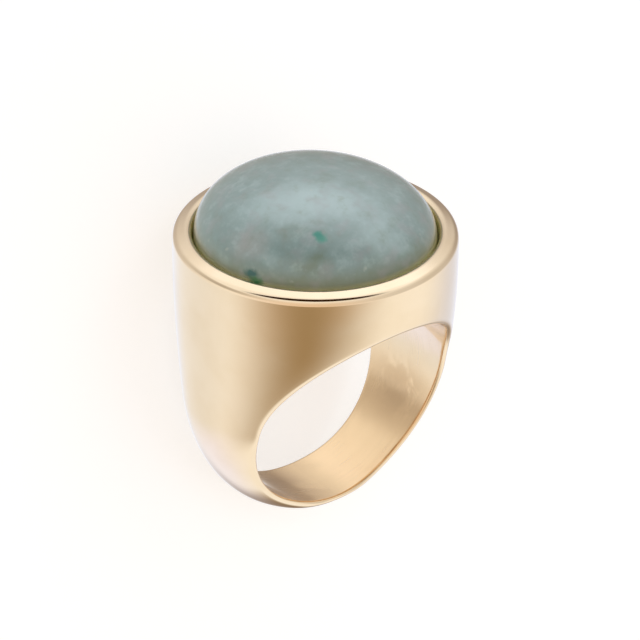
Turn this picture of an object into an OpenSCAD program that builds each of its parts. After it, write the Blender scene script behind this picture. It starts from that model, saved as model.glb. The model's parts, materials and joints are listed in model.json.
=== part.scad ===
// Stone ring: a one-piece cast body whose shank widens into a round head, and a domed stone set in the head.
// All shapes are worked out with the ring upright: X across the finger, Y along it, Z from the finger to the stone,
// and the centre of the finger bore at zero. lay_down() then puts the ring on its side, the way it rests by itself:
// it stands on the head's rim side and on the foot of the shank, and the stone faces -Y and a little up.

/* [Finger bore] */
// Diameter of the finger bore
bore_d = 17.3; // [16.2:0.1:18.4]
// Rounding of the two edges of the bore
bore_round = 0.6; // [0.3:0.05:0.8]

/* [Shank] */
// Thickness of the shank under the finger
foot_t = 1.25; // [0.9:0.05:2]
// Thickness of the shank at the sides of the finger
side_t = 1.85; // [1.3:0.05:2.6]
// Width of the shank under the finger, along the finger
foot_w = 4.9; // [3.5:0.1:8]
// How fast the body widens from foot to head: 1 is a straight line, 2 a parabola
widening = 2.05; // [1.4:0.05:2.6]
// Fullness of the level sections: 2 is an ellipse, more is squarer
fullness = 2.15; // [2:0.05:2.6]

/* [Head] */
// Height of the head from the top of the bore to the rim's outer edge
head_h = 4.25; // [3.8:0.05:7]
// Width of the metal rim around the stone
rim_w = 1.45; // [1.2:0.05:2.5]
// Slope of the rim's face, which falls away from the stone, in degrees
rim_slope = 18; // [0:1:24]
// Rounding of the rim's outer edge
rim_round = 0.6; // [0.2:0.05:0.6]
// Rounding of the rim's inner edge
lip_round = 0.45; // [0.1:0.05:0.5]
// Depth of the stone's seat below the rim's outer edge
seat_depth = 2.3; // [1.9:0.05:2.6]

/* [Stone] */
// Diameter of the stone
stone_d = 18.1; // [16:0.1:20]
// Height of the dome above the stone's widest line
dome_h = 5.1; // [3:0.05:7]
// Depth of the stone's widest line below the rim's outer edge
girdle_drop = 0.45; // [0.1:0.05:0.8]
// Fullness of the dome: 2 is an ellipse, more is flatter on top
dome_fullness = 2.2; // [2:0.05:2.8]
// How far the stone leans out of level, in degrees
stone_lean = 2.9; // [0:0.1:3]
// Which way it leans, in degrees from +X towards +Y
lean_to = 321; // [0:1:360]

/* [Hidden] */

// Gap that keeps the stone clear of its seat
set_gap = 0.1;
// Bevel round the stone's flat underside: how far it goes in, and the share of the stone's edge that it takes up
base_bevel = 0.3;
bevel_share = 0.7;
// Metal that is left above the rounded bore edge before the head's level rows start
shoulder_step = 0.5;
// Smallest half size that a level section is drawn in to
least_half = 0.001;
// Extra length with which a cutting tool runs past what it cuts
run_past = 1;
// Sides of the round surfaces, and of the small rounding in the rim's profile
round_sides = 180;
rounding_sides = 64;

bore_r = bore_d / 2;
stone_r = stone_d / 2;
seat_r = stone_r + set_gap;
head_r = seat_r + rim_w;
side_r = bore_r + side_t;
foot_z = -bore_r - foot_t;
side_z = foot_z + side_r;
rim_z = bore_r + head_h;
// The rim's rounding starts at wall_top_z and turns through rim_turn degrees, up to the sloping face
rim_turn = 90 - rim_slope;
wall_top_z = rim_z - rim_round * tan(rim_turn / 2);
shoulder_z = bore_r + bore_round + shoulder_step;
seat_z = rim_z - seat_depth;
girdle_z = rim_z - girdle_drop;
// Height at which the ring's weight lies, near enough to choose the side that it rests on
middle_z = 0.6 * rim_z;
// The foot is what lies below -near_end_z, and the head what lies above near_end_z
near_end_z = 0.7 * bore_r;

function clamp(v) = min(1, max(0, v));
function abs_power(v, power) = pow(abs(v), power);

// Half size of the level section at height z: across the finger, along it, and its exponent
function half_across(z) =
    z < side_z
        ? sqrt(max(0, side_r * side_r - (z - side_z) * (z - side_z)))
        : side_r + (head_r - side_r) * pow((min(z, rim_z) - side_z) / (rim_z - side_z), 2);
function foot_crown(z) = sqrt(1 - pow(1 - clamp((z - foot_z) / foot_t), 2));
function rise(z) = clamp((z - foot_z) / (rim_z - foot_z));
function half_along(z) = foot_crown(z) * (head_r - (head_r - foot_w / 2) * pow(1 - rise(z), widening));
function exponent(z) = fullness + (2 - fullness) * clamp(z / rim_z);

// How far the rim's outer rounding draws the section in at height z
function rim_inset(z) =
    let (h = max(0, z - wall_top_z))
    rim_round - sqrt(max(0, rim_round * rim_round - h * h));

// Distance of the outer surface from the plane Y = 0, above the point x, z of that plane
function surface_y(x, z, inset = 0) =
    let (
        drawn_in = inset + rim_inset(z),
        across = max(least_half, half_across(z) - drawn_in),
        along = max(least_half, half_along(z) - drawn_in),
        n = exponent(z)
    )
    along * pow(clamp(1 - abs_power(x / across, n)), 1 / n);

// Point of the level section at height z, at angle u from +X, on the side of -Y for u under 180
function section_point(u, z) =
    let (
        n = exponent(z),
        x = sign(cos(u)) * (half_across(z) - rim_inset(z)) * abs_power(cos(u), 2 / n)
    )
    [x, -sign(sin(u)) * surface_y(x, z), z];

// Lines that run outwards from the bore over the front and the back of the body. Each is
// [angle of its inner end from +Z, x and z of its outer end]. The first and last of the head's lines end where
// the shoulder's level section meets the side outline.
head_steps = 35;
side_steps = 8;
foot_steps = 37;
corner_angle = 47;

function head_line(i) =
    let (p = section_point(180 * i / head_steps, shoulder_z))
    [corner_angle * (1 - 2 * i / head_steps), p.x, shoulder_z];
function side_line(s, t) =
    let (z = side_z + (shoulder_z - side_z) * t)
    [s * (90 + (corner_angle - 90) * t), s * half_across(z), z];
function foot_line(a) = [a, side_r * sin(a), side_z + side_r * cos(a)];

lines = [
    for (i = [0 : head_steps]) head_line(i),
    for (i = [1 : side_steps]) side_line(-1, 1 - i / side_steps),
    for (i = [1 : foot_steps]) foot_line(-90 - 180 * i / foot_steps),
    for (i = [1 : side_steps - 1]) side_line(1, i / side_steps)
];
line_count = len(lines);

// Rows along each line: the rounded bore edge, then the open surface
edge_turns = [15, 40, 65, 90];
open_rows = 5;
// The blank's lip, which the bore cuts away: how far it stands into the bore, and back from the edge
lip_in = 0.1;
lip_back = 0.35;

function edge_point(line, turn) =
    let (
        r = bore_r + bore_round * (1 - cos(turn)),
        x = r * sin(line[0]),
        z = r * cos(line[0])
    )
    [x, surface_y(x, z, bore_round * (1 - sin(turn))), z];
function lip_point(line) =
    let (
        p = edge_point(line, edge_turns[0]),
        r = bore_r - lip_in
    )
    [r * sin(line[0]), p.y - lip_back, r * cos(line[0])];
function open_point(line, t) =
    let (
        r = bore_r + bore_round,
        x = (1 - t) * r * sin(line[0]) + t * line[1],
        z = (1 - t) * r * cos(line[0]) + t * line[2]
    )
    [x, surface_y(x, z), z];
function line_points(line) = [
    lip_point(line),
    for (turn = edge_turns) edge_point(line, turn),
    for (k = [1 : open_rows - 1]) open_point(line, sin(90 * k / open_rows))
];
row_count = 1 + len(edge_turns) + open_rows - 1;

// Height of the rim's sloping face at radius r
function face_z(r) = rim_z + (head_r - r) * tan(rim_slope);

// Level rows of the head: its wall, its rounded rim, and the sloping face inwards to a radius inside the seat
wall_rows = 4;
rim_steps = 3;
cap_r = seat_r - run_past;
head_rows = [
    for (i = [0 : wall_rows - 1]) shoulder_z + (wall_top_z - shoulder_z) * i / (wall_rows - 1),
    for (i = [1 : rim_steps]) wall_top_z + rim_round * sin(rim_turn * i / rim_steps)
];
around = 2 * head_steps;
function cap_point(u) = [cap_r * cos(u), -cap_r * sin(u), face_z(cap_r)];

back_points = [for (line = lines) each line_points(line)];
front_points = [for (p = back_points) [p.x, -p.y, p.z]];
outline_points = [for (j = [head_steps + 1 : line_count - 1]) [lines[j][1], 0, lines[j][2]]];
head_points = [
    for (z = head_rows) for (i = [0 : around - 1]) section_point(360 * i / around, z),
    for (i = [0 : around - 1]) cap_point(360 * i / around)
];
body_points = concat(front_points, back_points, outline_points, head_points);

back_start = line_count * row_count;
outline_start = 2 * back_start;
head_start = outline_start + len(outline_points);

// Index of the outer end of line j, on the front (side 0) or the back (side 1)
function end_index(j, side) =
    j > head_steps
        ? outline_start + j - head_steps - 1
        : head_start + (side == 0 ? j : (around - j) % around);
function line_index(j, k, side) = k < row_count ? side * back_start + j * row_count + k : end_index(j, side);
function head_index(row, i) = head_start + row * around + i % around;

function quad(a, b, c, d) = [[a, b, c], [a, c, d]];
function turned(faces) = [for (f = faces) [f[2], f[1], f[0]]];

function side_faces(side) = [
    for (j = [0 : line_count - 1])
        for (k = [0 : row_count - 1])
            let (next = (j + 1) % line_count)
            each quad(line_index(j, k, side), line_index(next, k, side),
                line_index(next, k + 1, side), line_index(j, k + 1, side))
];
bore_faces = [
    for (j = [0 : line_count - 1])
        let (next = (j + 1) % line_count)
        each quad(line_index(j, 0, 0), line_index(j, 0, 1), line_index(next, 0, 1), line_index(next, 0, 0))
];
head_faces = [
    for (row = [0 : len(head_rows) - 1])
        for (i = [0 : around - 1])
            each quad(head_index(row, i), head_index(row, i + 1), head_index(row + 1, i + 1), head_index(row + 1, i))
];
top_face = [for (i = [0 : around - 1]) head_index(len(head_rows), i)];
body_faces = concat(side_faces(0), turned(side_faces(1)), bore_faces, head_faces, [top_face]);

// The lean of the line that touches both foot and head on the back, which is the floor's direction at rest
feet = [for (p = back_points) if (p.z < -near_end_z) p];
heads = [for (p = concat(back_points, head_points)) if (p.z > near_end_z) p];
touches = [
    for (a = feet)
        for (b = heads)
            [a.y + (b.y - a.y) * (middle_z - a.z) / (b.z - a.z), atan2(b.y - a.y, b.z - a.z)]
];
furthest = max([for (t = touches) t[0]]);
rest_tilt = [for (t = touches) if (t[0] == furthest) t[1]][0];

// Side view of the stone, from the middle of its underside over the girdle to the top of its dome
dome_steps = 20;
base_drop = girdle_drop - seat_depth + set_gap + stone_r * sin(stone_lean);
stone_outline = [
    [0, base_drop],
    [stone_r - base_bevel, base_drop],
    [stone_r, (1 - bevel_share) * base_drop],
    for (i = [0 : dome_steps])
        let (a = 90 * i / dome_steps)
        [stone_r * pow(cos(a), 2 / dome_fullness), dome_h * pow(sin(a), 2 / dome_fullness)]
];
lean_axis = [-sin(lean_to), cos(lean_to), 0];
stone_up = [sin(stone_lean) * cos(lean_to), sin(stone_lean) * sin(lean_to), cos(stone_lean)];

// Where the laid ring reaches: down is the floor's side, ahead is the side that the stone faces
down = [0, cos(rest_tilt), -sin(rest_tilt)];
ahead = [0, sin(rest_tilt), cos(rest_tilt)];
function body_reach(way) = max([for (p = body_points) p * way]);
function stone_reach(way) =
    let (c = stone_up * way)
    girdle_z * way.z + max([for (p = stone_outline) p.y * c + p.x * sqrt(1 - c * c)]);
reach_down = max(body_reach(down), stone_reach(down));
reach_ahead = max(body_reach(ahead), stone_reach(ahead));
reach_behind = max(body_reach(-ahead), stone_reach(-ahead));

module lay_down() {
    translate([0, (reach_ahead - reach_behind) / 2, reach_down])
        rotate([0, 0, 180])
            rotate([rest_tilt - 90, 0, 0])
                children();
}

module finger_bore() {
    rotate([90, 0, 0])
        cylinder(r = bore_r, h = 2 * (head_r + run_past), center = true, $fn = round_sides);
}

// The lip is the rounding between the seat's wall and the rim's face, which it meets at an angle of lip_break.
// Its centre, and the direction square to the face
lip_break = 12;
face_normal = [sin(rim_slope), cos(rim_slope)];
lip_centre = [
    seat_r + lip_round,
    face_z(seat_r + lip_round) - lip_round * cos(lip_break) / cos(rim_slope)
];

// The round seat, with the rim's inner edge rounded above it
module stone_seat() {
    above_face = lip_centre + (lip_round + run_past) * face_normal;
    translate([0, 0, seat_z])
        cylinder(r = seat_r, h = face_z(seat_r) - seat_z + run_past, $fn = round_sides);
    rotate_extrude($fn = round_sides)
        difference() {
            polygon([
                [seat_r - run_past, lip_centre.y],
                lip_centre,
                above_face,
                [seat_r - run_past, above_face.y]
            ]);
            translate(lip_centre)
                circle(r = lip_round, $fn = rounding_sides);
        }
}

module ring_body() {
    color([0.86, 0.69, 0.45])
        lay_down()
            difference() {
                polyhedron(points = body_points, faces = body_faces, convexity = 8);
                finger_bore();
                stone_seat();
            }
}

module stone() {
    color([0.55, 0.64, 0.61])
        lay_down()
            translate([0, 0, girdle_z])
                rotate(a = stone_lean, v = lean_axis)
                    rotate_extrude($fn = round_sides)
                        polygon(stone_outline);
}

ring_body();
stone();
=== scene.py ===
# Looks of a stone ring that lies on its side: a one-piece polished gold body and a domed, milky green stone.
# Both are built upright, with the sizes of the solids that they replace, and then laid down as the record's
# bore mount says.
import json
import math

import bmesh
import bpy
import numpy as np
from mathutils import Matrix, Vector


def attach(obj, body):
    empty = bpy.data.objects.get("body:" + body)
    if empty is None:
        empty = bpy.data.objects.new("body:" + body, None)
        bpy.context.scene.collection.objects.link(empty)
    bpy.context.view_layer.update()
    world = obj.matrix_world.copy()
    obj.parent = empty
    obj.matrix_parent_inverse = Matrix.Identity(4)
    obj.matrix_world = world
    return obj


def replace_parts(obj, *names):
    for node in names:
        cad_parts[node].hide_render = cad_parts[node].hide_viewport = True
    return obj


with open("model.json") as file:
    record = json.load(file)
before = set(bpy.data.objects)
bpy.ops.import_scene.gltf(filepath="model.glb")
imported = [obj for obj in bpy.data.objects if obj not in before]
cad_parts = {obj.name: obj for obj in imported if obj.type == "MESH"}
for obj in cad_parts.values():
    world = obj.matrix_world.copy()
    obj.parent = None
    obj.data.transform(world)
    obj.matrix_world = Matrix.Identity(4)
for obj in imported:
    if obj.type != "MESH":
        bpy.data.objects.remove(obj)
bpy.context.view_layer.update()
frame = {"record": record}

MM = 0.001

# Sizes in millimetres, with the ring upright: X across the finger, Y along it, Z towards the stone
BORE = frame["record"]["mounts"][0]
BORE_R = BORE["dims"]["r_mm"]
BORE_ROUND = 0.6
FOOT_THICK = 1.25
SIDE_THICK = 1.85
FOOT_WIDE = 4.9
# How late the band widens towards the head, and how full its sections are below it, where 2 is an ellipse
WIDENING = 2.05
FULLNESS = 2.15
HEAD_HIGH = 4.25
# How far above the bore's edge the head's own rows of points start
SHOULDER_STEP = 0.5
RIM_WIDE = 1.45
RIM_SLOPE = math.radians(18)
RIM_ROUND = 0.6
LIP_ROUND = 0.45
SEAT_DEEP = 2.3
SET_GAP = 0.1
# How much closer to the stone the seat's wall is than in the solid, so that only a thin crack shows
SEAT_SNUG = 0.07
STONE_R = 9.05
DOME_HIGH = 5.1
DOME_FULLNESS = 2.2
GIRDLE_DROP = 0.45
# How far the stone's base is set in from its girdle, and the share of the depth between them that this takes
BASE_BEVEL = 0.3
BEVEL_SHARE = 0.7
STONE_LEAN = math.radians(2.9)
# Where the stone leans to, counted from +X towards +Y
LEAN_TO = math.radians(321)

SEAT_R = STONE_R + SET_GAP
HEAD_R = SEAT_R + RIM_WIDE
SIDE_R = BORE_R + SIDE_THICK
FOOT_Z = -BORE_R - FOOT_THICK
SIDE_Z = FOOT_Z + SIDE_R
RIM_Z = BORE_R + HEAD_HIGH
SHOULDER_Z = BORE_R + BORE_ROUND + SHOULDER_STEP
SEAT_Z = RIM_Z - SEAT_DEEP
GIRDLE_Z = RIM_Z - GIRDLE_DROP
RIM_TURN = math.pi / 2 - RIM_SLOPE
WALL_TOP_Z = RIM_Z - RIM_ROUND * math.tan(RIM_TURN / 2)

# Lines of the body's mesh round the bore: under the head, down each side and round the foot. CORNER is the
# angle from +Z of the first and the last line under the head
HEAD_STEPS = 144
SIDE_STEPS = 28
FOOT_STEPS = 132
CORNER = math.radians(47)
# Rows of points on the body and the stone
EDGE_ROWS = 10
OPEN_ROWS = 26
BORE_ROWS = 12
WALL_ROWS = 12
ROUND_ROWS = 10
FACE_ROWS = 4
SEAT_ROWS = 4
BEVEL_ROWS = 5
DOME_ROWS = 72
STONE_STEPS = 120
# In millimetres: points closer than WELD become one, and no section is thinner than THINNEST
WELD = 2e-4
THINNEST = 1e-6

# The photograph's camera, set round the upright ring: its direction and roll in degrees, with the azimuth
# from -Y towards +X, its distance in millimetres, and its lens and aim in pixels of the photograph
CAMERA_AZIMUTH = -38.641
CAMERA_ELEVATION = 30.661
CAMERA_ROLL = -0.391
CAMERA_FAR = 381.608
FOCAL_PX = 5078.4
IMAGE_PX = 640
BORE_AT_PX = (314.636, 381.17)


def laying_down():
    """The matrix that takes the upright ring, in metres, to where it lies in the frame."""
    axis = Vector(BORE["axis"])
    tilt = math.atan2(axis.y, axis.z)
    turned = Matrix.Rotation(math.pi, 4, "Z") @ Matrix.Rotation(tilt - math.pi / 2, 4, "X")
    return Matrix.Translation(BORE["pos_m"]) @ turned


LAID = laying_down()


def half_across(z):
    """Half size of the level section at height z, across the finger."""
    below = np.sqrt(np.maximum(0, SIDE_R**2 - (z - SIDE_Z) ** 2))
    above = SIDE_R + (HEAD_R - SIDE_R) * ((np.minimum(z, RIM_Z) - SIDE_Z) / (RIM_Z - SIDE_Z)) ** 2
    return np.where(z < SIDE_Z, below, above)


def half_along(z):
    """Half size of the level section at height z, along the finger."""
    crown = np.sqrt(1 - (1 - np.clip((z - FOOT_Z) / FOOT_THICK, 0, 1)) ** 2)
    rise = np.clip((z - FOOT_Z) / (RIM_Z - FOOT_Z), 0, 1)
    return crown * (HEAD_R - (HEAD_R - FOOT_WIDE / 2) * (1 - rise) ** WIDENING)


def exponent(z):
    """Exponent of the level section's superellipse at height z."""
    return FULLNESS + (2 - FULLNESS) * np.clip(z / RIM_Z, 0, 1)


def rim_inset(z):
    """How far the rim's outer rounding draws the section in at height z."""
    high = np.maximum(0, z - WALL_TOP_Z)
    return RIM_ROUND - np.sqrt(np.maximum(0, RIM_ROUND**2 - high**2))


def face_z(r):
    """Height of the rim's sloping face at radius r."""
    return RIM_Z + (HEAD_R - r) * math.tan(RIM_SLOPE)


def surface_y(x, z, inset=0):
    """Distance of the body's outer surface from the plane Y = 0 above the point x, z of that plane."""
    drawn_in = inset + rim_inset(z)
    across = np.maximum(THINNEST, half_across(z) - drawn_in)
    along = np.maximum(THINNEST, half_along(z) - drawn_in)
    n = exponent(z)
    return along * np.clip(1 - np.abs(x / across) ** n, 0, 1) ** (1 / n)


def level_row(z, steps):
    """2 * steps points round the level section at height z, from +X over -Y. Where they cross the planes
    X = 0 and Y = 0 they lie exactly on them."""
    u = np.linspace(0, 2 * math.pi, 2 * steps, endpoint=False)
    z = np.full_like(u, z)
    x = np.sign(np.cos(u)) * (half_across(z) - rim_inset(z)) * np.abs(np.cos(u)) ** (2 / exponent(z))
    x[steps // 2] = x[-(steps // 2)] = 0
    y = -np.sign(np.sin(u)) * surface_y(x, z)
    y[0] = y[steps] = 0
    return np.stack([x, y, z], 1)


def circle_row(r, z, steps):
    """2 * steps points round a circle about the Z axis, in step with level_row."""
    u = np.linspace(0, 2 * math.pi, 2 * steps, endpoint=False)
    return np.stack([r * np.cos(u), -r * np.sin(u), np.full_like(u, z)], 1)


def side_line(sign, share):
    """A line for body_lines towards the side of sign: the lowest at share 0, and the shoulder's at 1."""
    angle = math.pi / 2 + (CORNER - math.pi / 2) * share
    z = SIDE_Z + (SHOULDER_Z - SIDE_Z) * share
    return sign * angle, sign * float(half_across(z)), z


def body_lines():
    """Ends of the lines that run out from the bore: their inner angles from +Z, and their outer x and z."""
    lines = []
    for i, point in enumerate(level_row(SHOULDER_Z, HEAD_STEPS)[:HEAD_STEPS + 1]):
        lines.append((CORNER * (1 - 2 * i / HEAD_STEPS), point[0], SHOULDER_Z))
    lines += [side_line(-1, 1 - i / SIDE_STEPS) for i in range(1, SIDE_STEPS + 1)]
    for i in range(1, FOOT_STEPS + 1):
        a = -math.pi / 2 - math.pi * i / FOOT_STEPS
        lines.append((a, SIDE_R * math.sin(a), SIDE_Z + SIDE_R * math.cos(a)))
    lines += [side_line(1, i / SIDE_STEPS) for i in range(1, SIDE_STEPS)]
    return np.array(lines).T


def open_rows(lines):
    """Rows of points from the bore's edge outwards, on the side of +Y."""
    angle, end_x, end_z = lines
    rows = []
    for turn in np.linspace(0, math.pi / 2, EDGE_ROWS + 1):
        r = BORE_R + BORE_ROUND * (1 - math.cos(turn))
        x, z = r * np.sin(angle), r * np.cos(angle)
        rows.append(np.stack([x, surface_y(x, z, BORE_ROUND * (1 - math.sin(turn))), z], 1))
    edge_r = BORE_R + BORE_ROUND
    for share in np.sin(np.linspace(0, math.pi / 2, OPEN_ROWS + 1))[1:]:
        x = (1 - share) * edge_r * np.sin(angle) + share * end_x
        z = (1 - share) * edge_r * np.cos(angle) + share * end_z
        rows.append(np.stack([x, surface_y(x, z), z], 1))
    on_outline = np.arange(len(angle)) >= HEAD_STEPS
    on_outline[0] = True
    rows[-1][on_outline, 1] = 0
    return rows


def wall_rows():
    """Rows of points up the head's wall and over the rim's outer rounding."""
    rows = [level_row(z, HEAD_STEPS) for z in np.linspace(SHOULDER_Z, WALL_TOP_Z, WALL_ROWS)]
    turns = np.linspace(0, RIM_TURN, ROUND_ROWS + 1)[1:]
    return rows + [level_row(WALL_TOP_Z + RIM_ROUND * math.sin(t), HEAD_STEPS) for t in turns]


def seat_rows():
    """Rows of points down the rim's face and its lip, down the seat's wall and in over its floor."""
    face_r = HEAD_R - RIM_ROUND * (1 - math.cos(RIM_TURN))
    lip_r = SEAT_R + LIP_ROUND
    lip_z = face_z(lip_r) - LIP_ROUND / math.cos(RIM_SLOPE)
    on_face = np.linspace(face_r, lip_r + LIP_ROUND * math.sin(RIM_SLOPE), FACE_ROWS + 1)[1:]
    ends = [(r, face_z(r)) for r in on_face]
    for t in np.linspace(RIM_TURN, math.pi, ROUND_ROWS + 1)[1:]:
        ends.append((lip_r + LIP_ROUND * math.cos(t), lip_z + LIP_ROUND * math.sin(t)))
    snug_r = SEAT_R - SEAT_SNUG
    ends += [(snug_r, z) for z in np.linspace(lip_z - SEAT_SNUG, SEAT_Z, SEAT_ROWS)]
    ends += [(r, SEAT_Z) for r in np.linspace(snug_r, 0, 2 * SEAT_ROWS + 1)[1:-1]]
    return [circle_row(r, z, HEAD_STEPS) for r, z in ends]


def joined(bm, rows, capped=()):
    """Adds closed rows of points to bm as bands of quads. A fan closes each row whose index is in capped."""
    made = [[bm.verts.new(LAID @ Vector(p * MM)) for p in row] for row in rows]
    for low, high in zip(made, made[1:]):
        for i, v in enumerate(low):
            j = (i + 1) % len(low)
            bm.faces.new((v, low[j], high[j], high[i]))
    for row in (made[k] for k in capped):
        middle = bm.verts.new(sum((v.co for v in row), Vector()) / len(row))
        for i, v in enumerate(row):
            bm.faces.new((v, row[(i + 1) % len(row)], middle))


def shaded_by_area(mesh):
    """Gives each vertex the mean normal of its faces by area, so that slivers don't show in the shading."""
    normals = np.zeros((len(mesh.vertices), 3))
    for face in mesh.polygons:
        normals[list(face.vertices)] += np.array(face.normal) * face.area / MM**2
    mesh.normals_split_custom_set_from_vertices(normals / np.linalg.norm(normals, axis=1, keepdims=True))


def finished(bm, name, material):
    """Welds bm's seams, turns its faces outwards and makes it a smooth object that rides on the ring."""
    bmesh.ops.remove_doubles(bm, verts=bm.verts, dist=WELD * MM)
    bmesh.ops.recalc_face_normals(bm, faces=bm.faces)
    mesh = bpy.data.meshes.new(name)
    bm.to_mesh(mesh)
    bm.free()
    mesh.shade_smooth()
    shaded_by_area(mesh)
    obj = bpy.data.objects.new(name, mesh)
    bpy.context.scene.collection.objects.link(obj)
    obj.data.materials.append(material)
    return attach(obj, "root")


def body_piece(material):
    """The ring's body: front and back round the bore, the bore's wall, and the head with its rim and seat."""
    bm = bmesh.new()
    back = open_rows(body_lines())
    front = [row * [1, -1, 1] for row in back]
    joined(bm, front)
    joined(bm, back)
    edge = back[0]
    joined(bm, [edge * [1, s, 1] for s in np.linspace(-1, 1, BORE_ROWS + 1)])
    joined(bm, wall_rows() + seat_rows(), capped=[-1])
    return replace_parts(finished(bm, "gold_body", material), "ring_body")


def stone_outline():
    """Radius and height of points up the stone's side view, from under its middle to the top of the dome."""
    base = GIRDLE_DROP - SEAT_DEEP + SET_GAP + STONE_R * math.sin(STONE_LEAN)
    outline = [(r, base) for r in np.linspace(0, STONE_R - BASE_BEVEL, BEVEL_ROWS + 1)[1:]]
    for t in np.linspace(0, 1, BEVEL_ROWS + 1)[1:]:
        outline.append((STONE_R - BASE_BEVEL * (1 - t), base * (1 - BEVEL_SHARE * t)))
    power = 2 / DOME_FULLNESS
    for a in np.linspace(0, math.pi / 2, DOME_ROWS + 1)[:-1]:
        outline.append((STONE_R * math.cos(a) ** power, DOME_HIGH * math.sin(a) ** power))
    return outline


def stone_piece(material):
    """The domed stone, which leans a little in its seat."""
    hinge = Vector((-math.sin(LEAN_TO), math.cos(LEAN_TO), 0))
    lean = np.array(Matrix.Rotation(STONE_LEAN, 3, hinge))
    rows = [circle_row(r, z, STONE_STEPS) @ lean.T + [0, 0, GIRDLE_Z] for r, z in stone_outline()]
    bm = bmesh.new()
    joined(bm, rows, capped=[0, -1])
    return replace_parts(finished(bm, "green_cabochon", material), "stone")


def added(tree, kind, inputs=None, **settings):
    """A new shader node. inputs maps its sockets to plain values or to the outputs of other nodes."""
    node = tree.nodes.new("ShaderNode" + kind)
    for name, value in settings.items():
        setattr(node, name, value)
    for socket, value in (inputs or {}).items():
        if isinstance(value, bpy.types.NodeSocket):
            tree.links.new(value, node.inputs[socket])
        else:
            node.inputs[socket].default_value = value
    return node


def new_material(name):
    """A node material, its tree and its shader."""
    material = bpy.data.materials.new(name)
    material.use_nodes = True
    return material, material.node_tree, material.node_tree.nodes["Principled BSDF"]


def ring_place(tree):
    """The place on the upright ring, in millimetres."""
    upright = LAID.inverted()
    here = added(tree, "TexCoord").outputs["Object"]
    return added(tree, "Mapping", {
        "Vector": here,
        "Location": upright.translation / MM,
        "Rotation": upright.to_euler(),
        "Scale": (1 / MM,) * 3,
    }).outputs["Vector"]


def math_node(tree, operation, *values):
    """One sum on numbers or sockets."""
    return added(tree, "Math", dict(enumerate(values)), operation=operation).outputs["Value"]


def ramp(tree, value, low, high, to_low=0, to_high=1):
    """value turned smoothly from to_low at low into to_high at high."""
    return added(tree, "MapRange", {
        "Value": value, "From Min": low, "From Max": high, "To Min": to_low, "To Max": to_high,
    }, interpolation_type="SMOOTHSTEP").outputs["Result"]


def noise(tree, place, scale, detail=2, roughness=0.5, distortion=0, stretch=(1, 1, 1)):
    """Soft noise from 0 to 1, scale features to the millimetre."""
    where = added(tree, "Mapping", {"Vector": place, "Scale": stretch}).outputs["Vector"]
    return added(tree, "TexNoise", {
        "Vector": where, "Scale": scale, "Detail": detail, "Roughness": roughness, "Distortion": distortion,
    }).outputs["Fac"]


def product(tree, a, b):
    """a times b, which are numbers or sockets."""
    return math_node(tree, "MULTIPLY", a, b)


def mixed(tree, share, colour_a, colour_b):
    """Colour a turned into colour b by share."""
    node = added(tree, "Mix", data_type="RGBA")
    for socket, value in (("Factor_Float", share), ("A_Color", colour_a), ("B_Color", colour_b)):
        end = next(s for s in node.inputs if s.identifier == socket)
        if isinstance(value, bpy.types.NodeSocket):
            tree.links.new(value, end)
        else:
            end.default_value = value
    return next(s for s in node.outputs if s.identifier == "Result_Color")


def blob(tree, place, centre, half_sizes, turn=(0, 0, 0), edge=0.5):
    """A soft ellipsoid: 1 inside, 0 outside; edge is the share of its radius over which it fades."""
    inside = added(tree, "Mapping", {
        "Vector": place, "Location": centre, "Rotation": turn, "Scale": half_sizes,
    }, vector_type="TEXTURE").outputs["Vector"]
    depth = added(tree, "TexGradient", {"Vector": inside}, gradient_type="SPHERICAL").outputs["Fac"]
    return ramp(tree, depth, 0, edge)


GOLD = (0.90, 0.73, 0.51, 1)
GOLD_DEEP = (0.87, 0.69, 0.46, 1)
# Painted shade: deeper, darker gold low inside the bore
GOLD_BORE_SHADE = (0.89, 0.64, 0.37, 1)
# Painted reflection: the dark brownish colour of patches on the bore's wall
BORE_DARK_REFLECTION = (0.66, 0.46, 0.26, 1)
# Painted reflections of dark patches on the bore's wall: centre, half sizes and how strongly each shows
PAINTED_BORE_REFLECTIONS = (
    ((8.0, -0.3, -3.1), (3.4, 4.8, 3.1), 0.8),
    ((-3.0, 0.9, -8.1), (2.6, 2.4, 1.6), 0.6),
)
# Distances outside the bore's wall where its own finish and painted shade end and where they show fully
BORE_FINISH_AND_SHADE = (0.15, 0.03)
# Heights between which the bore's colour deepens in painted shade
BORE_SHADE_DEEPENS = (1, -5)
# Roughness of the polish, and what fine lines add to it inside the bore
POLISH = (0.09, 0.13)
WEAR = (0.10, 0.16)
# Height of the relief, in millimetres: waves and fine lines in the bore, and grain all over
WAVES_HIGH = 0.06
LINES_HIGH = 0.0006
GRAIN_HIGH = 0.00016


def on_bore(tree, axes):
    """1 on the bore's wall, 0 on the rest of the body."""
    across = math_node(tree, "POWER", axes["X"], 2)
    upwards = math_node(tree, "POWER", axes["Z"], 2)
    from_axis = math_node(tree, "SQRT", math_node(tree, "ADD", across, upwards))
    return ramp(tree, from_axis, *(BORE_R + out for out in BORE_FINISH_AND_SHADE))


def gold_colour(tree, place, clouds, low_inside_shade, inside):
    """Pale gold that is deeper in its clouds, deeper still in painted shade low inside the bore, and with
    painted reflections of dark patches in places there.
    """
    colour = mixed(tree, ramp(tree, clouds, 0.3, 0.8), GOLD, GOLD_DEEP)
    # Painted shade: the gold deepens low inside the bore
    colour = mixed(tree, low_inside_shade, colour, GOLD_BORE_SHADE)
    reflection_blotches = noise(tree, place, 0.5, detail=4, roughness=0.6, distortion=0.4)
    # Painted reflections: dark brownish patches on the bore's wall
    for centre, half_sizes, share in PAINTED_BORE_REFLECTIONS:
        reflected_dark = product(tree, blob(tree, place, centre, half_sizes, edge=0.9), inside)
        reflected_dark = product(tree, reflected_dark, ramp(tree, reflection_blotches, 0.32, 0.55, to_high=share))
        colour = mixed(tree, reflected_dark, colour, BORE_DARK_REFLECTION)
    return colour


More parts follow.
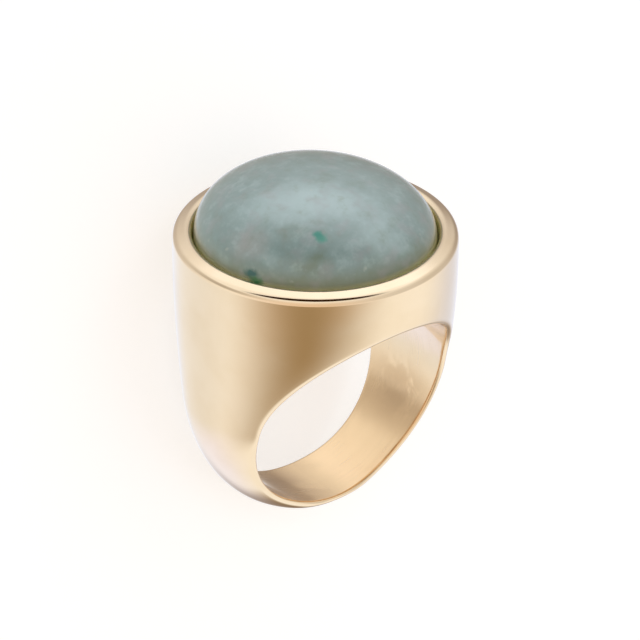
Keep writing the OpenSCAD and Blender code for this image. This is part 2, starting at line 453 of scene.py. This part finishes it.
def gold():
    """Polished pale gold: soft clouds in its polish, and a less even finish with fine lines in the bore."""
    material, tree, shader = new_material("polished_gold")
    place = ring_place(tree)
    axes = added(tree, "SeparateXYZ", {"Vector": place}).outputs
    inside = on_bore(tree, axes)
    around = product(tree, math_node(tree, "ARCTAN2", axes["X"], axes["Z"]), BORE_R)
    unrolled = added(tree, "CombineXYZ", {"X": around, "Y": axes["Y"]}).outputs["Vector"]
    clouds = noise(tree, place, 0.35, detail=3)
    lines = noise(tree, unrolled, 1, detail=3, stretch=(0.12, 5, 1))
    waves = noise(tree, unrolled, 0.3, detail=1, distortion=0.6)
    grain = noise(tree, place, 9, detail=2)

    # Painted shade low inside the bore
    low_inside_shade = product(tree, inside, ramp(tree, axes["Z"], *BORE_SHADE_DEEPENS))
    colour = gold_colour(tree, place, clouds, low_inside_shade, inside)
    tree.links.new(colour, shader.inputs["Base Color"])
    shader.inputs["Metallic"].default_value = 1
    shader.inputs["Coat Weight"].default_value = 1
    shader.inputs["Coat Roughness"].default_value = 0.08
    polish = ramp(tree, clouds, 0.25, 0.75, *POLISH)
    wear = product(tree, inside, ramp(tree, lines, 0.3, 0.7, *WEAR))
    tree.links.new(math_node(tree, "ADD", polish, wear), shader.inputs["Roughness"])

    relief = math_node(tree, "ADD", product(tree, waves, WAVES_HIGH), product(tree, lines, LINES_HIGH))
    relief = math_node(tree, "ADD", product(tree, relief, inside), product(tree, grain, GRAIN_HIGH))
    bump = added(tree, "Bump", {"Height": relief, "Distance": MM, "Strength": 1})
    tree.links.new(bump.outputs["Normal"], shader.inputs["Normal"])
    return material


STONE_BASE = (0.24, 0.333, 0.328, 1)
# Milky tint of the clouds, and of the painted highlight and lighter middle on the dome
STONE_MILK_AND_LIGHT = (0.475, 0.61, 0.62, 1)
STONE_ROSE = (0.40, 0.38, 0.37, 1)
STONE_BLUSH = (0.36, 0.35, 0.37, 1)
STONE_MOSS = (0.18, 0.22, 0.14, 1)
# Painted shade: olive darkening towards the girdle
STONE_OLIVE_SHADE = (0.19, 0.22, 0.12, 1)
# Painted light: pale band at the stone's foot
STONE_FOOT_GLOW = (0.62, 0.62, 0.34, 1)
STONE_FLECK = (0.55, 0.60, 0.55, 1)
SPECK_TEAL = (0.045, 0.28, 0.225, 1)
SPECK_PALE = (0.11, 0.34, 0.28, 1)
SPECK_DEEP = (0.012, 0.11, 0.095, 1)
SPECK_GREEN = (0.045, 0.20, 0.08, 1)

# How far the stone's patches, painted light among them, are turned about Z from X
PATCH_TURN = (0, 0, math.radians(-38.6))
# Soft patches in the stone, the first two a painted highlight and a painted lighter middle on the dome:
# centre, half sizes along the turn, across it and upwards, colour, and how strongly each shows
PATCHES_AND_PAINTED_LIGHT = (
    ((-2.4, -2.6, 17.3), (8.0, 3.4, 4.0), STONE_MILK_AND_LIGHT, 0.75),
    ((0.2, -3.0, 16.2), (8.5, 6.5, 4.5), STONE_MILK_AND_LIGHT, 0.3),
    ((-0.1, -7.3, 15.5), (2.8, 2.2, 1.8), STONE_MILK_AND_LIGHT, 0.4),
    ((-7.8, -1.7, 15.2), (2.6, 2.2, 1.6), STONE_ROSE, 0.45),
    ((-7.3, -3.7, 14.9), (1.2, 1.2, 1.0), STONE_MILK_AND_LIGHT, 0.25),
    ((-5.0, -4.0, 16.3), (1.8, 1.0, 1.0), STONE_MOSS, 0.3),
    ((1.2, -6.4, 15.9), (2.6, 1.8, 1.6), STONE_MILK_AND_LIGHT, 0.3),
    ((-5.3, -6.3, 14.8), (2.4, 1.6, 1.3), STONE_MOSS, 0.65),
    ((3.2, -8.1, 13.9), (2.2, 1.6, 1.4), STONE_MOSS, 0.12),
    ((1.3, -8.2, 14.5), (2.4, 1.5, 1.2), STONE_MILK_AND_LIGHT, 0.35),
    ((-1.2, -8.0, 14.2), (2.6, 1.6, 1.2), STONE_MOSS, 0.2),
)
# Dark green specks: centre, half sizes and colour
SPECKS = (
    ((-3.88, -5.55, 16.02), (0.62, 0.6, 0.5), SPECK_PALE),
    ((-3.98, -5.22, 16.17), (0.52, 0.62, 0.5), SPECK_TEAL),
    ((-8.45, -3.1, 13.55), (0.85, 0.85, 0.55), SPECK_DEEP),
    ((-8.25, -3.5, 13.1), (0.85, 0.85, 0.48), SPECK_GREEN),
)
# Heights from where down to where milky clouds grow stronger, the stone darkens to olive in painted shade,
# and its foot turns pale in painted light
CLOUDS_GROW = (18.2, 16.8)
OLIVE_SHADE_BAND = (GIRDLE_Z + 2.2, GIRDLE_Z + 0.5)
FOOT_GLOW_BAND = (GIRDLE_Z + 0.9, GIRDLE_Z + 0.3)
# How strongly what lies all over the stone shows
CLOUDS_SHARE = (0.1, 0.3)
MOSS_SHARE = 0.3
OLIVE_SHADE_SHARE = 0.8
BLUSH_SHARE = 0.3
FLECK_SHARE = 0.3
# How far light spreads in the stone, in metres of red, green and blue
LIGHT_SPREADS = (0.002, 0.0026, 0.0024)


def frayed(tree, place, scale, reach):
    """place moved about by noise, so that what is drawn there gets uneven edges."""
    stir = added(tree, "TexNoise", {"Vector": place, "Scale": scale, "Detail": 3}).outputs["Color"]
    offset = added(tree, "Mapping", {
        "Vector": stir, "Location": (-reach / 2,) * 3, "Scale": (reach,) * 3,
    }).outputs["Vector"]
    return added(tree, "VectorMath", {0: place, 1: offset}, operation="ADD").outputs["Vector"]


def stone_colour(tree, place):
    """Soft patches with a painted highlight and lighter middle on the dome, clouds, faint pale flecks, olive
    painted shade towards the girdle, a pale band of painted light at the foot and two small dark green
    specks.
    """
    height = added(tree, "SeparateXYZ", {"Vector": place}).outputs["Z"]
    soft = frayed(tree, place, 0.5, 3)
    uneven = frayed(tree, place, 2.2, 0.5)
    mottle = noise(tree, place, 0.75, detail=3, roughness=0.65)
    blush = noise(tree, place, 0.6, detail=2, roughness=0.6)
    dots = added(tree, "TexVoronoi", {"Vector": uneven, "Scale": 0.8}).outputs["Distance"]
    stronger = ramp(tree, height, *CLOUDS_GROW, *CLOUDS_SHARE)
    clouded = product(tree, ramp(tree, mottle, 0.48, 0.7), stronger)
    unblushed = ramp(tree, blush, 0.5, 0.35, to_high=FLECK_SHARE)
    flecked = product(tree, ramp(tree, dots, 0.17, 0.05), unblushed)

    colour = STONE_BASE
    # The first two patches are a painted highlight and a painted lighter middle on the dome
    for centre, half_sizes, tint, share in PATCHES_AND_PAINTED_LIGHT:
        here = blob(tree, soft, centre, half_sizes, PATCH_TURN, 0.9)
        colour = mixed(tree, product(tree, here, share), colour, tint)
    colour = mixed(tree, clouded, colour, STONE_MILK_AND_LIGHT)
    colour = mixed(tree, ramp(tree, mottle, 0.5, 0.25, to_high=MOSS_SHARE), colour, STONE_MOSS)
    # Painted shade: olive darkening towards the girdle
    colour = mixed(tree, ramp(tree, height, *OLIVE_SHADE_BAND, to_high=OLIVE_SHADE_SHARE), colour, STONE_OLIVE_SHADE)
    colour = mixed(tree, ramp(tree, blush, 0.48, 0.72, to_high=BLUSH_SHARE), colour, STONE_BLUSH)
    colour = mixed(tree, flecked, colour, STONE_FLECK)
    # Painted light: a pale band at the stone's foot
    colour = mixed(tree, ramp(tree, height, *FOOT_GLOW_BAND), colour, STONE_FOOT_GLOW)
    for centre, half_sizes, tint in SPECKS:
        colour = mixed(tree, blob(tree, uneven, centre, half_sizes, edge=0.8), colour, tint)
    return colour


def green_stone():
    """Milky green stone that light enters, with a soft polish."""
    material, tree, shader = new_material("milky_green_stone")
    tree.links.new(stone_colour(tree, ring_place(tree)), shader.inputs["Base Color"])
    shader.inputs["IOR"].default_value = 1.54
    shader.inputs["Roughness"].default_value = 0.3
    shader.inputs["Coat Weight"].default_value = 1
    shader.inputs["Coat IOR"].default_value = 1.25
    shader.inputs["Coat Roughness"].default_value = 0.12
    shader.inputs["Subsurface Weight"].default_value = 0.7
    shader.inputs["Subsurface Radius"].default_value = LIGHT_SPREADS
    shader.inputs["Subsurface Scale"].default_value = 1
    return material


# The floor, in metres: how far it reaches each way, and between which distances it fades into the tent
FLOOR_REACH = 0.3
FLOOR_FADES = (0.03, 0.13)
FLOOR_WHITE = (0.6, 0.6, 0.6, 1)
FLOOR_GLOW = 0.57


def floor_piece():
    """A plain white table of backlit acrylic under the ring, which runs out softly into the tent."""
    mesh = bpy.data.meshes.new("floor")
    corners = [(x * FLOOR_REACH, y * FLOOR_REACH, 0) for x, y in ((-1, -1), (1, -1), (1, 1), (-1, 1))]
    mesh.from_pydata(corners, [], [(0, 1, 2, 3)])
    obj = bpy.data.objects.new("floor", mesh)
    bpy.context.scene.collection.objects.link(obj)
    material, tree, shader = new_material("white_table")
    shader.inputs["Base Color"].default_value = FLOOR_WHITE
    shader.inputs["Roughness"].default_value = 0.8
    shader.inputs["Specular IOR Level"].default_value = 0.2
    shader.inputs["Emission Color"].default_value = (1, 1, 1, 1)
    shader.inputs["Emission Strength"].default_value = FLOOR_GLOW
    here = added(tree, "TexCoord").outputs["Object"]
    away = added(tree, "VectorMath", {0: here}, operation="LENGTH").outputs["Value"]
    beyond = added(tree, "BsdfTransparent").outputs["BSDF"]
    share = ramp(tree, away, *FLOOR_FADES)
    faded = added(tree, "MixShader", {0: share, 1: shader.outputs["BSDF"], 2: beyond}).outputs["Shader"]
    tree.links.new(faded, tree.nodes["Material Output"].inputs["Surface"])
    obj.data.materials.append(material)
    obj.visible_glossy = False


def towards(azimuth, elevation):
    """Unit vector of a direction that is given in degrees, as the upright ring sees it."""
    a, e = math.radians(azimuth), math.radians(elevation)
    return Vector((math.sin(a) * math.cos(e), -math.cos(a) * math.cos(e), math.sin(e)))


def facing(azimuth, elevation):
    """Turn of a thing out in that direction that faces the ring: its X is level and its Z points away."""
    out = towards(azimuth, elevation)
    a = math.radians(azimuth)
    across = Vector((math.cos(a), math.sin(a), 0))
    return Matrix((across, out.cross(across), out)).transposed()


def camera():
    """The photograph's camera, aimed so that the bore's centre falls on its pixel."""
    back = towards(CAMERA_AZIMUTH, CAMERA_ELEVATION)
    rolled = Matrix.Rotation(math.radians(-CAMERA_ROLL), 3, "Z")
    basis = facing(CAMERA_AZIMUTH, CAMERA_ELEVATION) @ rolled
    half = IMAGE_PX / 2
    to_bore = Vector(((BORE_AT_PX[0] - half) / FOCAL_PX, (half - BORE_AT_PX[1]) / FOCAL_PX, -1))
    aim = to_bore.rotation_difference(Vector((0, 0, -1))).to_matrix()
    data = bpy.data.cameras.new("camera")
    data.sensor_fit = "HORIZONTAL"
    data.lens = data.sensor_width * FOCAL_PX / IMAGE_PX
    data.clip_start = 0.01
    obj = bpy.data.objects.new("camera", data)
    obj.matrix_world = LAID @ (Matrix.Translation(back * CAMERA_FAR * MM) @ (basis @ aim).to_4x4())
    bpy.context.scene.collection.objects.link(obj)
    bpy.context.scene.camera = obj


# The light tent, and the soft panels in it that the gold mirrors, as the upright ring sees them, in degrees.
# Of each panel: its azimuth from -Y towards +X and how far it fades to each side, its lower and its upper
# edge, each from where it ends to where it shows fully, its colour and how strongly it shows
TENT_LIGHT = (1.06, 1.06, 1.06, 1)
PANELS = (
    (60, 170, (-24, -10), (55, 15), (0.27, 0.21, 0.16, 1), 0.4),
    (-115, 65, (0, 8), (40, 26), (0.25, 0.19, 0.13, 1), 0.6),
    (150, 120, (-24, -8), (50, 2), (0.30, 0.21, 0.14, 1), 0.6),
    (125, 50, (-16, -4), (22, 8), (0.2, 0.15, 0.11, 1), 0.5),
    (141, 60, (-70, -55), (-10, -22), (0.88, 0.9, 1.0, 1), 0.85),
    (135, 65, (-90, -72), (-34, -48), (0.5, 0.36, 0.2, 1), 0.7),
    (140, 50, (-88, -62), (-38, -54), (0.20, 0.13, 0.07, 1), 0.85),
    (100, 45, (-50, -40), (-8, -20), (0.6, 0.6, 0.72, 1), 0.5),
    (-150, 70, (-46, -34), (-10, -30), (0.6, 0.64, 0.72, 1), 0.28),
    (-150, 75, (-85, -60), (-30, -46), (0.98, 1.02, 1.32, 1), 0.7),
    (120, 100, (38, 50), (90, 75), (1.3, 1.3, 1.35, 1), 1),
    (-44, 70, (-36, -30), (50, 0), (0.85, 0.55, 0.30, 1), 0.6),
    (-44, 78, (-58, -38), (-19, -27), (0.39, 0.286, 0.165, 1), 1),
)
# The dark flag that hangs above: its azimuth and elevation, half its width, height and depth as parts of the
# tent's radius, and the share of it over which it fades
FLAG_AT = (-38, 67)
FLAG_HALF = (0.75, 0.34, 1.5)
FLAG_EDGE = 0.35
FLAG_TINT = (0.03, 0.01, 0, 1)
# The lamp: its azimuth and elevation, its distance and size in metres, and its power in watts
KEY_AT = (-38, 60)
KEY_FAR = 0.4
KEY_SIZE = 0.3
KEY_POWER = 0.1


def panel_share(tree, azimuth, raised, panel, strength):
    """How much of the panel's colour shows at an azimuth and elevation, which are given in radians."""
    middle, reach, *edges = panel
    off = math_node(tree, "SUBTRACT", azimuth, math.radians(middle))
    off = math_node(tree, "ABSOLUTE", math_node(tree, "WRAP", off, math.pi, -math.pi))
    share = ramp(tree, off, math.radians(reach), 0, 0, strength)
    for end, full in edges:
        share = product(tree, share, ramp(tree, raised, math.radians(end), math.radians(full)))
    return share


def light_tent():
    """Soft light from all round, with the panels and the flag that the gold mirrors."""
    world = bpy.data.worlds.new("tent")
    world.use_nodes = True
    bpy.context.scene.world = world
    tree = world.node_tree
    seen = added(tree, "Mapping", {
        "Vector": added(tree, "TexCoord").outputs["Generated"], "Rotation": LAID.inverted().to_euler(),
    }).outputs["Vector"]
    axes = added(tree, "SeparateXYZ", {"Vector": seen}).outputs
    azimuth = math_node(tree, "ARCTAN2", axes["X"], product(tree, axes["Y"], -1))
    raised = math_node(tree, "ARCSINE", axes["Z"])
    colour = TENT_LIGHT
    for *panel, tint, strength in PANELS:
        colour = mixed(tree, panel_share(tree, azimuth, raised, panel, strength), colour, tint)
    flagged = blob(tree, seen, towards(*FLAG_AT), FLAG_HALF, facing(*FLAG_AT).to_euler(), FLAG_EDGE)
    colour = mixed(tree, flagged, colour, FLAG_TINT)
    tree.links.new(colour, tree.nodes["Background"].inputs["Color"])


def key_light():
    """A soft lamp over the ring, which the gold doesn't mirror."""
    data = bpy.data.lights.new("key_light", "AREA")
    data.size = KEY_SIZE
    data.energy = KEY_POWER
    obj = bpy.data.objects.new("key_light", data)
    out = LAID.to_3x3() @ towards(*KEY_AT)
    obj.matrix_world = Matrix.Translation(out * KEY_FAR) @ out.to_track_quat("Z", "Y").to_matrix().to_4x4()
    obj.visible_glossy = False
    bpy.context.scene.collection.objects.link(obj)


body_piece(gold())
stone_piece(green_stone())
floor_piece()
camera()
light_tent()
key_light()
bpy.context.scene.view_settings.view_transform = "Standard"
